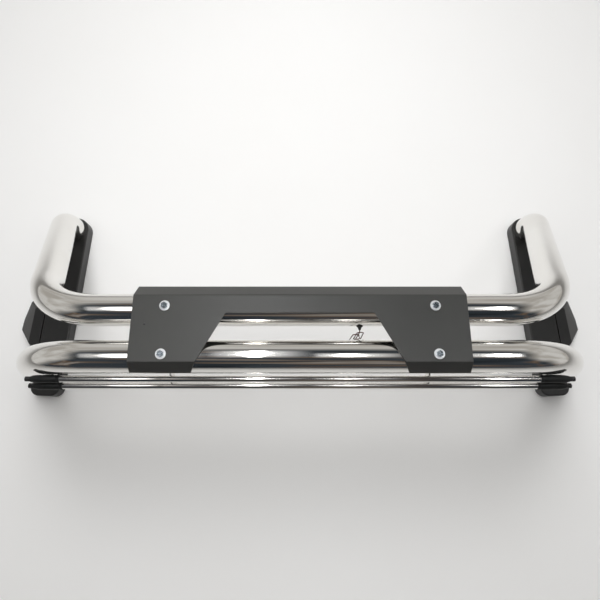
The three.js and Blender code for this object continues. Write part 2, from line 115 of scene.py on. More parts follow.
camera_data = bpy.data.cameras.new("camera")
camera_data.sensor_width = 36
camera_data.lens = CAMERA_LENS
camera_data.clip_start = 0.05
camera_data.clip_end = 100
camera = bpy.data.objects.new("camera", camera_data)
camera.location = (0, UPPER_Y - CAMERA_BELOW, TUBE_HEIGHT + CAMERA_RISE)
camera.rotation_euler = (CAMERA_TILT, 0, 0)
bpy.context.scene.collection.objects.link(camera)
bpy.context.scene.camera = camera


# ---------------------------------------------------------------- materials
class Shader:
    """A Principled material with a few helpers for procedural nodes."""

    def __init__(self, name, **sockets):
        self.material = bpy.data.materials.new(name)
        self.material.use_nodes = True
        self.nodes = self.material.node_tree.nodes
        self.links = self.material.node_tree.links
        self.principled = self.nodes["Principled BSDF"]
        self.height = None
        for socket, value in sockets.items():
            self.principled.inputs[socket.replace("_", " ")].default_value = value

    def place(self, stretch=(1, 1, 1), uv=False):
        """Object or UV coordinates, stretched."""
        coordinates = self.nodes.new("ShaderNodeTexCoord")
        mapping = self.nodes.new("ShaderNodeMapping")
        mapping.inputs["Scale"].default_value = stretch
        self.links.new(coordinates.outputs["UV" if uv else "Object"], mapping.inputs["Vector"])
        return mapping.outputs["Vector"]

    def noise(self, scale, detail=4, roughness=0.55, stretch=(1, 1, 1), uv=False):
        texture = self.nodes.new("ShaderNodeTexNoise")
        texture.inputs["Scale"].default_value = scale
        texture.inputs["Detail"].default_value = detail
        texture.inputs["Roughness"].default_value = roughness
        self.links.new(self.place(stretch, uv), texture.inputs["Vector"])
        return texture.outputs["Fac"]

    def ramp(self, source, stops):
        """source from 0 to 1 through colour or grey stops."""
        node = self.nodes.new("ShaderNodeValToRGB")
        elements = node.color_ramp.elements
        while len(elements) < len(stops):
            elements.new(0.5)
        for element, (position, value) in zip(elements, stops):
            element.position = position
            element.color = (value, value, value, 1) if isinstance(value, (int, float)) else (*value, 1)
        self.links.new(source, node.inputs["Fac"])
        return node.outputs["Color"]

    def remap(self, source, low, high, start=0.3, end=0.7):
        node = self.nodes.new("ShaderNodeMapRange")
        node.inputs["From Min"].default_value = start
        node.inputs["From Max"].default_value = end
        node.inputs["To Min"].default_value = low
        node.inputs["To Max"].default_value = high
        self.links.new(source, node.inputs["Value"])
        return node.outputs["Result"]

    def mix(self, factor, first, second):
        node = self.nodes.new("ShaderNodeMix")
        node.data_type = "RGBA"
        for socket, value in ((node.inputs[0], factor), (node.inputs[6], first), (node.inputs[7], second)):
            if isinstance(value, bpy.types.NodeSocket):
                self.links.new(value, socket)
            elif isinstance(value, tuple):
                socket.default_value = (*value, 1)
            else:
                socket.default_value = value
        return node.outputs[2]

    def bump(self, source, strength, distance):
        """Adds one more layer of fine relief under the layers made before."""
        node = self.nodes.new("ShaderNodeBump")
        node.inputs["Strength"].default_value = strength
        node.inputs["Distance"].default_value = distance
        self.links.new(source, node.inputs["Height"])
        if self.height is not None:
            self.links.new(self.height, node.inputs["Normal"])
        self.height = node.outputs["Normal"]
        self.links.new(self.height, self.principled.inputs["Normal"])

    def to(self, socket, source):
        self.links.new(source, self.principled.inputs[socket])


def polished_steel():
    """Polished stainless tube: near mirror, with faint lengthwise polishing lines and hazy patches."""
    s = Shader("polished_steel", Metallic=1.0, Roughness=0.06, Base_Color=(0.83, 0.815, 0.785, 1))
    haze = s.noise(3.2, 5, 0.6)
    lines = s.noise(1.0, 3, 0.6, stretch=(5.0, 260.0, 1), uv=True)
    s.to("Roughness", s.mix(0.35, s.remap(haze, 0.05, 0.13), s.remap(lines, 0.04, 0.16)))
    tint = s.ramp(haze, [(0.3, (0.80, 0.785, 0.755)), (0.7, (0.87, 0.862, 0.84))])
    s.to("Base Color", tint)
    s.bump(lines, 0.03, 0.0002)
    s.bump(s.noise(9.0, 2, 0.5), 0.10, 0.0006)
    return s.material


def zinc():
    """Bright zinc-plated fasteners."""
    s = Shader("bright_zinc", Metallic=0.55, Roughness=0.34, Base_Color=(0.78, 0.80, 0.82, 1))
    mottle = s.noise(260, 5, 0.65)
    s.to("Roughness", s.remap(mottle, 0.28, 0.42))
    s.to("Base Color", s.ramp(mottle, [(0.3, (0.66, 0.68, 0.71)), (0.7, (0.88, 0.89, 0.90))]))
    s.bump(mottle, 0.15, 0.0002)
    return s.material


def zinc_head():
    """Cold-headed bolts in bluish zinc, smoother than the washers under them."""
    s = Shader("blue_zinc", Metallic=1.0, Roughness=0.24, Base_Color=(0.30, 0.34, 0.38, 1))
    mottle = s.noise(420, 4, 0.6)
    s.to("Roughness", s.remap(mottle, 0.18, 0.32))
    s.to("Base Color", s.ramp(mottle, [(0.3, (0.22, 0.26, 0.30)), (0.7, (0.40, 0.45, 0.49))]))
    s.bump(mottle, 0.10, 0.0002)
    return s.material


def bare_steel():
    """Plain machined steel inside the tubes' ends."""
    s = Shader("machined_steel", Metallic=0.95, Roughness=0.42, Base_Color=(0.45, 0.45, 0.44, 1))
    turned = s.noise(180, 4, 0.6)
    s.to("Roughness", s.remap(turned, 0.3, 0.55))
    s.to("Base Color", s.ramp(turned, [(0.3, (0.34, 0.335, 0.325)), (0.7, (0.55, 0.55, 0.54))]))
    s.bump(turned, 0.2, 0.0002)
    return s.material


def powder_coat(name, dark, light, roughness, peel):
    """Powder coat over sheet steel: orange peel, fine grain and slight unevenness in tone and sheen."""
    s = Shader(name, Metallic=0.0, Roughness=roughness, Base_Color=(*light, 1))
    s.principled.inputs["Specular IOR Level"].default_value = 0.8
    cloud = s.noise(5.5, 5, 0.6)
    grain = s.noise(900, 3, 0.7)
    tone = s.ramp(cloud, [(0.3, dark), (0.7, light)])
    s.to("Base Color", s.mix(s.remap(grain, 0.0, 0.35), tone, light))
    sheen = s.remap(cloud, roughness - 0.05, roughness + 0.06)
    s.to("Roughness", s.mix(0.5, sheen, s.remap(grain, 0.3, 0.6)))
    s.bump(s.noise(330, 2, 0.5), peel, 0.0004)
    s.bump(grain, 0.12, 0.0001)
    return s.material


def moulded_black():
    """Moulded plastic sleeves with a fine spark-eroded grain."""
    s = Shader("moulded_plastic", Metallic=0.0, Roughness=0.5, Base_Color=(0.009, 0.010, 0.010, 1))
    s.principled.inputs["Specular IOR Level"].default_value = 0.35
    grain = s.noise(1400, 4, 0.7)
    scuff = s.noise(60, 5, 0.6)
    s.to("Base Color", s.ramp(scuff, [(0.35, (0.006, 0.007, 0.007)), (0.75, (0.013, 0.0145, 0.0145))]))
    s.to("Roughness", s.remap(scuff, 0.42, 0.6))
    s.bump(grain, 0.25, 0.00012)
    return s.material


def black_oxide():
    """Blackened steel screws."""
    s = Shader("black_oxide", Metallic=0.7, Roughness=0.38, Base_Color=(0.05, 0.05, 0.052, 1))
    wear = s.noise(300, 4, 0.6)
    s.to("Base Color", s.ramp(wear, [(0.4, (0.03, 0.03, 0.032)), (0.75, (0.12, 0.12, 0.122))]))
    s.to("Roughness", s.remap(wear, 0.3, 0.5))
    s.bump(wear, 0.15, 0.0002)
    return s.material


def rubber():
    """Matt rubber with a little dust."""
    s = Shader("matt_rubber", Metallic=0.0, Roughness=0.78, Base_Color=(0.02, 0.02, 0.02, 1))
    dust = s.noise(140, 5, 0.65)
    s.to("Base Color", s.ramp(dust, [(0.4, (0.014, 0.014, 0.014)), (0.8, (0.05, 0.048, 0.045))]))
    s.to("Roughness", s.remap(dust, 0.7, 0.9))
    s.bump(s.noise(900, 3, 0.6), 0.3, 0.0002)
    return s.material


def lead_jacket():
    """Two-wire lead in a soft brown-black jacket with a reddish cast."""
    s = Shader("lead_jacket", Metallic=0.0, Roughness=0.5, Base_Color=(0.06, 0.022, 0.018, 1))
    wear = s.noise(160, 4, 0.6)
    s.to("Base Color", s.ramp(wear, [(0.35, (0.05, 0.012, 0.010)), (0.75, (0.13, 0.034, 0.028))]))
    s.to("Roughness", s.remap(wear, 0.42, 0.6))
    s.bump(wear, 0.2, 0.0002)
    return s.material


def floor_paint():
    """Plain pale studio floor with barely visible unevenness."""
    s = Shader("pale_floor", Metallic=0.0, Roughness=0.8, Base_Color=(0.95, 0.95, 0.945, 1))
    s.principled.inputs["Specular IOR Level"].default_value = 0.2
    cloud = s.noise(1.3, 4, 0.5)
    s.to("Base Color", s.ramp(cloud, [(0.3, (0.94, 0.938, 0.93)), (0.7, (0.96, 0.96, 0.955))]))
    return s.material


STEEL = polished_steel()
ZINC = zinc()
ZINC_HEAD = zinc_head()
BARE = bare_steel()
PLATE_COAT = powder_coat("satin_powder_coat", (0.024, 0.0245, 0.023), (0.036, 0.0365, 0.034), 0.44, 0.10)
RAIL_COAT = powder_coat("black_powder_coat", (0.004, 0.004, 0.004), (0.008, 0.008, 0.008), 0.34, 0.14)
PLASTIC = moulded_black()
OXIDE = black_oxide()
RUBBER = rubber()
LEAD = lead_jacket()


# ---------------------------------------------------------------- mesh helpers
def add_object(name, vertices, faces, material, uvs=None, smooth_angle=35):
    """A mesh object whose edges sharper than smooth_angle degrees stay sharp."""
    mesh = bpy.data.meshes.new(name)
    mesh.from_pydata([tuple(v) for v in vertices], [], faces)
    mesh.validate()
    if uvs is not None:
        layer = mesh.uv_layers.new(name="along")
        for loop in mesh.loops:
            layer.data[loop.index].uv = uvs[loop.vertex_index]
    obj = bpy.data.objects.new(name, mesh)
    bpy.context.scene.collection.objects.link(obj)
    mesh.materials.append(material)
    soften(obj, smooth_angle)
    return obj


def prism_faces(count):
    """Faces of a prism whose two rings of count vertices come one after the other."""
    faces = [tuple(range(count)), tuple(range(2 * count - 1, count - 1, -1))]
    for j in range(count):
        k = (j + 1) % count
        faces.append((j, k, count + k, count + j))
    return faces


def soften(obj, angle):
    """Shades smooth, but keeps edges sharper than angle degrees."""
    mesh = obj.data
    mesh.polygons.foreach_set("use_smooth", [True] * len(mesh.polygons))
    mesh.set_sharp_from_angle(angle=math.radians(angle))


def flatten_broad_faces(obj, angle):
    """Shades broad faces flat and leaves the turn to the small faces along their edges."""
    soften(obj, angle)
    modifier = obj.modifiers.new("weighted", "WEIGHTED_NORMAL")
    modifier.weight = 100
    modifier.keep_sharp = True
    apply_modifiers(obj)


def outward(obj):
    """Turns the mesh's faces to point outwards."""
    work = bmesh.new()
    work.from_mesh(obj.data)
    bmesh.ops.recalc_face_normals(work, faces=work.faces)
    work.to_mesh(obj.data)
    work.free()
    return obj


def apply_modifiers(obj):
    """Bakes the modifiers into the mesh."""
    graph = bpy.context.evaluated_depsgraph_get()
    baked = bpy.data.meshes.new_from_object(obj.evaluated_get(graph), depsgraph=graph)
    obj.modifiers.clear()
    obj.data = baked


def bevel(obj, width, segments, angle):
    """Rounds the edges that turn by more than angle degrees."""
    modifier = obj.modifiers.new("bevel", "BEVEL")
    modifier.width = width
    modifier.segments = segments
    modifier.limit_method = "ANGLE"
    modifier.angle_limit = math.radians(angle)
    modifier.harden_normals = True
    apply_modifiers(obj)


def cut_with(obj, cutter, operation="DIFFERENCE"):
    """Cuts obj with the cutter, or keeps only what they share, and removes the cutter."""
    modifier = obj.modifiers.new("cut", "BOOLEAN")
    modifier.object = cutter
    modifier.operation = operation
    modifier.solver = "EXACT"
    apply_modifiers(obj)
    bpy.data.objects.remove(cutter, do_unlink=True)


def finish_piece(obj, slot, *nodes):
    """The piece rides on the frame and stands for its CAD nodes, which it hides."""
    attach(obj, "root")
    if nodes:
        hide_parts(*nodes)


def turned(name, profile, start, direction, material, segments=64, smooth_angle=32):
    """A closed (radius, along) profile turned about an axis from start."""
    axis = Vector(direction).normalized()
    turn = axis.to_track_quat("Z", "Y").to_matrix()
    count = len(profile)
    vertices = []
    faces = []
    for i in range(segments):
        angle = 2 * math.pi * i / segments
        for radius, along in profile:
            local = Vector((radius * math.cos(angle), radius * math.sin(angle), along))
            vertices.append(Vector(start) + turn @ local)
        following = (i + 1) % segments
        for j in range(count):
            k = (j + 1) % count
            faces.append((i * count + j, following * count + j, following * count + k, i * count + k))
    obj = add_object(name, vertices, faces, material, smooth_angle=smooth_angle)
    weld = bmesh.new()
    weld.from_mesh(obj.data)
    bmesh.ops.remove_doubles(weld, verts=weld.verts, dist=1e-7)
    bmesh.ops.recalc_face_normals(weld, faces=weld.faces)
    weld.to_mesh(obj.data)
    weld.free()
    soften(obj, smooth_angle)
    return obj


def drill(target, spot, diameter, low, high, segments):
    """Cuts a round hole along Z, from low to high about spot."""
    radius = diameter / 2
    profile = [(0, low), (radius, low), (radius, high), (0, high)]
    cut_with(target, turned("hole", profile, spot, (0, 0, 1), target.data.materials[0], segments))


def arc(centre, radius, start, end, steps):
    """Points of an arc in a plane, angles in degrees."""
    points = []
    for i in range(steps + 1):
        angle = math.radians(start + (end - start) * i / steps)
        points.append((centre[0] + radius * math.cos(angle), centre[1] + radius * math.sin(angle)))
    return points


# ---------------------------------------------------------------- tubes
def bent_line(corners, radii, turn_step=math.radians(2.5), straight_step=0.03):
    """Points along straight runs joined by bends, closely spaced."""
    corners = [Vector(c) for c in corners]
    runs = []
    for i in range(1, len(corners) - 1):
        into = (corners[i] - corners[i - 1]).normalized()
        out = (corners[i + 1] - corners[i]).normalized()
        turn = into.angle(out)
        radius = radii[i - 1]
        to_centre = (out - into * into.dot(out)).normalized()
        start = corners[i] - into * radius * math.tan(turn / 2)
        centre = start + to_centre * radius
        steps = max(4, math.ceil(turn / turn_step))
        bend = []
        for k in range(steps + 1):
            angle = turn * k / steps
            bend.append(centre + into * radius * math.sin(angle) - to_centre * radius * math.cos(angle))
        runs.append(bend)
    points = [corners[0]]
    for bend in runs + [[corners[-1]]]:
        gap = bend[0] - points[-1]
        pieces = max(1, math.ceil(gap.length / straight_step))
        start = points[-1].copy()
        for k in range(1, pieces):
            points.append(start + gap * k / pieces)
        points.extend(bend)
    return points


def swept(name, points, radius, wall, material, segments=96):
    """A hollow tube along points, with rounded lips at its open ends."""
    lip = wall * 0.25
    tangents = []
    for i in range(len(points)):
        before = points[max(i - 1, 0)]
        after = points[min(i + 1, len(points) - 1)]
        tangents.append((after - before).normalized())
    tangents[0] = (points[1] - points[0]).normalized()
    side = tangents[0].orthogonal().normalized()
    rings = []
    travelled = 0.0
    for i, point in enumerate(points):
        if i:
            side = (side - tangents[i] * side.dot(tangents[i])).normalized()
            travelled += (point - points[i - 1]).length
        up = tangents[i].cross(side)
        rings.append((point, side.copy(), up, travelled))
    vertices = []
    uvs = []

    def ring(index, ring_radius, shift=0.0):
        point, across, up, along = rings[index]
        start = len(vertices)
        for k in range(segments):
            angle = 2 * math.pi * k / segments
            offset = across * math.cos(angle) + up * math.sin(angle)
            vertices.append(point + tangents[index] * shift + offset * ring_radius)
            uvs.append((along, abs(k / segments - 0.5) * 2 * math.pi * radius))
        return start

    last = len(points) - 1
    starts = [ring(0, radius - lip)]
    starts.append(ring(0, radius, lip))
    starts += [ring(i, radius) for i in range(1, last)]
    starts.append(ring(last, radius, -lip))
    starts.append(ring(last, radius - lip))
    inner = radius - wall
    starts.append(ring(last, inner + lip))
    starts.append(ring(last, inner, -lip))
    starts += [ring(i, inner) for i in range(last - 1, 0, -1)]
    starts.append(ring(0, inner, lip))
    starts.append(ring(0, inner + lip))
    faces = []
    for a, b in zip(starts, starts[1:] + starts[:1]):
        for k in range(segments):
            n = (k + 1) % segments
            faces.append((a + k, b + k, b + n, a + n))
    obj = add_object(name, vertices, faces, material, uvs=uvs, smooth_angle=60)
    return outward(obj)


def both_sides(corners):
    """A right-hand half of a centreline, mirrored to the left."""
    left = [(-x, y, z) for x, y, z in reversed(corners)]
    return left + list(corners)


def main_tubes():
    """Each tube from its left foot, over the front and down to its right foot."""
    foot_x, foot_reach = UPPER_FOOT
    upper_half = [
        (UPPER_CORNER, UPPER_Y, TUBE_HEIGHT),
        (foot_x, UPPER_Y + foot_reach, RAIL_HEIGHT + UPPER_FOOT_RISE),
        (foot_x, UPPER_Y + foot_reach, RAIL_HEIGHT + FIT),
    ]
    lower_half = [
        (LOWER_CORNER, LOWER_Y, TUBE_HEIGHT),
        (LOWER_FOOT_X, LOWER_Y, RAIL_HEIGHT + LOWER_FOOT_RISE),
        (LOWER_FOOT_X, LOWER_Y, RAIL_HEIGHT + FIT),
    ]
    tubes = (("upper_tube", upper_half, UPPER_BENDS), ("lower_tube", lower_half, LOWER_BENDS))
    for node, half, bends in tubes:
        line = bent_line(both_sides(half), bends + bends[::-1])
        tube = swept(f"{node}_fine", line, TUBE_RADIUS, TUBE_WALL, STEEL)
        finish_piece(tube, "polished_tube", node)


def foot_beads():
    """A small rippled bead of black sealant round the foot of each leg."""
    around = 240
    bead = 2.2 * MM
    lap = 0.2 * MM  # of the bead on the tube
    lift = 0.05 * MM  # of the bead off the rail
    section = arc((0, 0), 1, -5, 95, 6) + [(0, 0)]
    count = len(section)
    for side_name, side in SIDES:
        upper = ("upper", side * UPPER_FOOT[0], UPPER_Y + UPPER_FOOT[1])
        lower = ("lower", side * LOWER_FOOT_X, LOWER_Y)
        for foot_name, x, y in (upper, lower):
            vertices = []
            faces = []
            for i in range(around):
                angle = 2 * math.pi * i / around
                size = bead * (1 + 0.14 * math.sin(angle * 46) + 0.06 * math.sin(angle * 7 + 1))
                for out, up in section:
                    r = TUBE_RADIUS - lap + max(out, 0) * size
                    z = RAIL_HEIGHT + lift + max(up, 0) * size
                    vertices.append((x + r * math.cos(angle), y + r * math.sin(angle), z))
                n = (i + 1) % around
                for j in range(count):
                    k = (j + 1) % count
                    faces.append((i * count + j, n * count + j, n * count + k, i * count + k))
            name = f"weld_{foot_name}_{side_name}"
            sealant = outward(add_object(name, vertices, faces, RAIL_COAT, smooth_angle=60))
            finish_piece(sealant, "coated_rail")


# ---------------------------------------------------------------- centre plate
def centre_plate():
    """Folded sheet with rounded folds, a cut-out open below, and its holes."""
    low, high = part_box("centre_plate")
    width = high[0] - low[0]
    fold = PLATE_SHEET * math.tan(math.pi / 8)
    below = (TUBE_RADIUS + FIT) * (math.sqrt(2) - 1) + fold + FIT
    top = PLATE_ABOVE
    bottom = (LOWER_Y - UPPER_Y) - below
    fold_radius = 5.5 * MM
    inner_radius = fold_radius - PLATE_SHEET
    cut_back = fold_radius * math.tan(math.pi / 8)
    edge = PLATE_SHEET * math.sqrt(0.5)
    top_centre = (top - cut_back, PLATE_FRONT - fold_radius)
    bottom_centre = (bottom + cut_back, PLATE_FRONT - fold_radius)
    section = [(bottom - LOWER_LIP, PLATE_FRONT - LOWER_LIP)]
    section += arc(bottom_centre, fold_radius, 135, 90, 8)
    section += arc(top_centre, fold_radius, 90, 45, 8)
    section.append((top + UPPER_LIP, PLATE_FRONT - UPPER_LIP))
    section.append((top + UPPER_LIP - edge, PLATE_FRONT - UPPER_LIP - edge))
    section += arc(top_centre, inner_radius, 45, 90, 8)
    section += arc(bottom_centre, inner_radius, 90, 135, 8)
    section.append((bottom - LOWER_LIP + edge, PLATE_FRONT - LOWER_LIP - edge))
    vertices = []
    for x in (-width / 2, width / 2):
        vertices += [(x, UPPER_Y + y, z) for y, z in section]
    plate = outward(add_object("centre_plate_fine", vertices, prism_faces(len(section)), PLATE_COAT))

    # The cut-out: a trapezium with rounded upper corners, wider towards its open lower side.
    half_top = CUT_OUT_TOP / 2
    slope = (CUT_OUT_BOTTOM / 2 - half_top) / (-bottom - CUT_OUT_DROP)
    reach = -bottom + LOWER_LIP + 10 * MM
    corner = 5 * MM
    lean = math.atan(slope)
    inset = corner * math.tan((math.pi / 2 - lean) / 2)
    opening = [(half_top + slope * (reach - CUT_OUT_DROP), -reach)]
    opening += arc((half_top - inset, -CUT_OUT_DROP - corner), corner, math.degrees(lean), 90, 6)
    opening += [(-x, y) for x, y in reversed(opening)]
    vertices = []
    for z in (PLATE_FRONT - 60 * MM, PLATE_FRONT + 5 * MM):
        vertices += [(x, UPPER_Y + y, z) for x, y in opening]
    cut_with(plate, outward(add_object("opening", vertices, prism_faces(len(opening)), PLATE_COAT)))

    holes = [(f"plate_bolt_{where}", PLATE_BOLT_HOLE) for where in CORNERS]
    for node, diameter in holes + [("plate_rivet", RIVET_HOLE)]:
        spot = middle(node)
        drill(plate, (spot.x, spot.y, PLATE_FRONT), diameter, -8 * MM, 8 * MM, 40)
    bevel(plate, 0.5 * MM, 2, 50)
    flatten_broad_faces(plate, 50)
    finish_piece(plate, "coated_plate", "centre_plate")


def plate_rivet():
    """A blind rivet with a low dome and a pinched mandrel in its middle."""
    low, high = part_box("plate_rivet")
    spot = middle("plate_rivet")
    head = 2.7 * MM
    crown = 1.0 * MM
    rim = 0.15 * MM  # upright edge of the head
    mandrel = 0.9 * MM
    shank = 1.75 * MM
    seat = high[2] - crown
    tail = low[2] - seat
    profile = [(0, tail), (shank, tail), (shank, 0), (head - 0.1 * MM, 0), (head, rim)]
    for i in range(1, 9):
        angle = math.radians(90 * i / 8)
        out = mandrel + (head - mandrel) * math.cos(angle)
        profile.append((out, rim + (crown - rim) * math.sin(angle)))
    profile += [(0.85 * MM, 0.75 * MM), (0.5 * MM, 0.7 * MM), (0, 0.7 * MM)]
    obj = turned("plate_rivet_fine", profile, (spot.x, spot.y, seat), (0, 0, 1), OXIDE, 40)
    finish_piece(obj, "black_screw", "plate_rivet")


# ---------------------------------------------------------------- fasteners
def hex_head(name, seat, direction, flats, height, shank, length, material):
    """A hexagon head with a chamfered crown on a plain shank, pointing along direction."""
    axis = Vector(direction).normalized()
    corner = flats / math.sqrt(3)
    vertices = []
    for z in (0, height):
        for i in range(6):
            angle = math.radians(60 * i + 30)
            vertices.append(Vector((corner * math.cos(angle), corner * math.sin(angle), z)))
    head = outward(add_object(name, vertices, prism_faces(6), material))
    chamfer = flats / 2 * 0.95
    drop = (corner - chamfer) * math.tan(math.radians(28))
    under = 0.35 * MM  # height of the round face under the hexagon
    crown = [
        (0, height - 0.25 * MM),
        (chamfer * 0.82, height - 0.25 * MM),
        (chamfer * 0.86, height),
        (chamfer, height),
        (corner + 0.5 * MM, height - drop - 0.3 * MM),
        (corner + 0.5 * MM, under + 0.02 * MM),
        (flats / 2 * 0.96, under),
        (flats / 2 * 0.96, 0),
        (0, 0),
    ]
    cut_with(head, turned("crown", crown, (0, 0, 0), (0, 0, 1), material, 72), "INTERSECT")
    bevel(head, 0.22 * MM, 2, 25)
    thread = []
    pitch = shank * 0.16
    turns = int(length / pitch)
    for i in range(turns):
        start = -length + i * pitch
        thread += [(shank / 2 - pitch * 0.5, start), (shank / 2, start + pitch * 0.5)]
    profile = [(0, -length)] + thread + [(shank / 2, -0.2 * MM), (shank / 2, 0.5 * MM), (0, 0.5 * MM)]
    rod = turned("shank", profile, (0, 0, 0), (0, 0, 1), material, 32)
    flatten_broad_faces(head, 60)
    join_into(head, rod)
    turn = axis.to_track_quat("Z", "Y").to_matrix().to_4x4()
    head.data.transform(Matrix.Translation(Vector(seat)) @ turn)
    return head


def join_into(target, other):
    """Moves other's mesh into target."""
    work = bmesh.new()
    work.from_mesh(target.data)
    work.from_mesh(other.data)
    work.to_mesh(target.data)
    work.free()
    bpy.data.objects.remove(other, do_unlink=True)


def washer(name, centre, inner, outer, thickness):
    """A flat washer with rolled edges."""
    r = thickness * 0.3
    profile = arc((outer - r, r), r, -90, 0, 4) + arc((outer - r, thickness - r), r, 0, 90, 4)
    profile += [(inner + r, thickness), (inner, thickness - r), (inner, r), (inner + r, 0)]
    return turned(name, profile, centre, (0, 0, 1), ZINC, 72)


def plate_fasteners():
    washer_bore = 4.3 * MM
    bolt_length = 22 * MM
    for where in CORNERS:
        low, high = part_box(f"plate_washer_{where}")
        node = f"plate_washer_{where}"
        spot = middle(node)
        outer = (high[0] - low[0]) / 2
        disc = washer(f"{node}_fine", (spot.x, spot.y, low[2]), washer_bore, outer, high[2] - low[2])
        finish_piece(disc, "zinc_fastener", node)
        node = f"plate_bolt_{where}"
        bolt_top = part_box(f"plate_bolt_{where}")[1][2]
        seat = (spot.x, spot.y, bolt_top - M8[1])
        bolt = hex_head(f"{node}_fine", seat, (0, 0, 1), *M8, bolt_length, ZINC_HEAD)
        finish_piece(bolt, "zinc_fastener", node)


def leg_bolts():
    for where in CORNERS:
        node = f"leg_bolt_{where}"
        low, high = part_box(node)
        spot = middle(node)
        seat = (spot.x, spot.y, low[2] + M12[1])
        length = high[2] - low[2] - M12[1]
        bolt = hex_head(f"{node}_fine", seat, (0, 0, -1), *M12, length, ZINC_HEAD)
        finish_piece(bolt, "zinc_fastener", node)


def wing_bolts():
    length = 17.6 * MM
    inner_face = RAIL_WIDTH / 2 - RAIL_SHEET - FIT
    for side_name, side in SIDES:
        turn = Matrix.Rotation(side * RAIL_TOE, 3, "Z")
        inward = turn @ Vector((-side, 0, 0))
        for index, reach in enumerate(WING_BOLT_REACH, 1):
            local = turn @ Vector((side * inner_face, -reach, RAIL_HEIGHT / 2 + WING_BOLT_RISE))
            node = f"wing_bolt_{side_name}_{index}"
            bolt = hex_head(f"{node}_fine", local + rail_origin(side), inward, *M8, length, ZINC_HEAD)
            finish_piece(bolt, "zinc_fastener", node)


# ---------------------------------------------------------------- small bars and sleeves
def small_bars():
    for bar in ("front", "rear"):
        low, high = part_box(f"{bar}_bar")
        spot = middle(f"{bar}_bar")
        steps = 60
        span = high[0] - low[0]
        points = [Vector((low[0] + span * i / steps, spot.y, spot.z)) for i in range(steps + 1)]
        obj = swept(f"{bar}_bar_fine", points, BAR_RADIUS, BAR_WALL, STEEL, 64)
        finish_piece(obj, "polished_tube", f"{bar}_bar")
        for side_name, side in SIDES:
            sleeve(bar, side_name, side)


def sleeve(bar, side_name, side):
    """A moulded sleeve: a rim, a shallow groove, a long body and a rounded nose with a hex screw in it."""
    node = f"{bar}_bar_sleeve_{side_name}"
    low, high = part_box(node)
    spot = middle(node)
    mouth = high[0] if side < 0 else low[0]
    body = BAR_RADIUS + 1.1 * MM
    rim = body + 0.35 * MM
    length = high[0] - low[0]
    bore = BAR_RADIUS + FIT
    nose = 6.5 * MM
    screw = 3.3 * MM
    blind = length - 10 * MM
    outer = [(bore, 0.4 * MM), (bore + 0.4 * MM, 0)]
    outer += arc((rim - 0.5 * MM, 0.5 * MM), 0.5 * MM, -90, 0, 3)
    outer += arc((rim - 0.5 * MM, 5.5 * MM), 0.5 * MM, 0, 90, 3)
    outer += [(body - 0.25 * MM, 6.3 * MM), (body - 0.25 * MM, 7.4 * MM), (body, 7.8 * MM)]
    for groove in (length - 26 * MM, length - 23 * MM):
        outer += [
            (body, groove),
            (body - 0.45 * MM, groove + 0.35 * MM),
            (body - 0.45 * MM, groove + 0.95 * MM),
            (body, groove + 1.3 * MM),
        ]
    for i in range(13):
        t = i / 12
        radius = nose + (body - nose) * math.cos(t * math.pi / 2) ** 0.8
        outer.append((radius, length - 19 * MM + 18.4 * MM * t))
    outer += [(nose - 0.6 * MM, length), (screw, length), (screw, blind), (bore, blind)]
    obj = turned(f"{node}_fine", outer, (mouth, spot.y, spot.z), (side, 0, 0), PLASTIC, 72)
    finish_piece(obj, "moulded_black", node)
    node = f"{bar}_sleeve_screw_{side_name}"
    low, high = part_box(node)
    head = SLEEVE_SCREW[1]
    seat_x = high[0] - head if side > 0 else low[0] + head
    length = high[0] - low[0] - head
    obj = hex_head(f"{node}_fine", (seat_x, spot.y, spot.z), (side, 0, 0), *SLEEVE_SCREW, length, OXIDE)
    finish_piece(obj, "black_screw", node)


# ---------------------------------------------------------------- base rails
def rail_origin(side):
    """The upper foot, which is the origin of a rail's own frame."""
    return Vector((side * UPPER_FOOT[0], UPPER_Y + UPPER_FOOT[1], 0))


def rail_outline(inset):
    """The rail's plan outline moved in by inset: a round far end and two rounded near corners."""
    half = RAIL_WIDTH / 2 - inset
    near = -RAIL_LENGTH + inset
    corner = max(RAIL_CORNER - inset, 0.6 * MM)
    points = arc((0, 0), half, 0, 180, 48)
    points += arc((-half + corner, near + corner), corner, 180, 270, 12)
    points += arc((half - corner, near + corner), corner, 270, 360, 12)
    return points


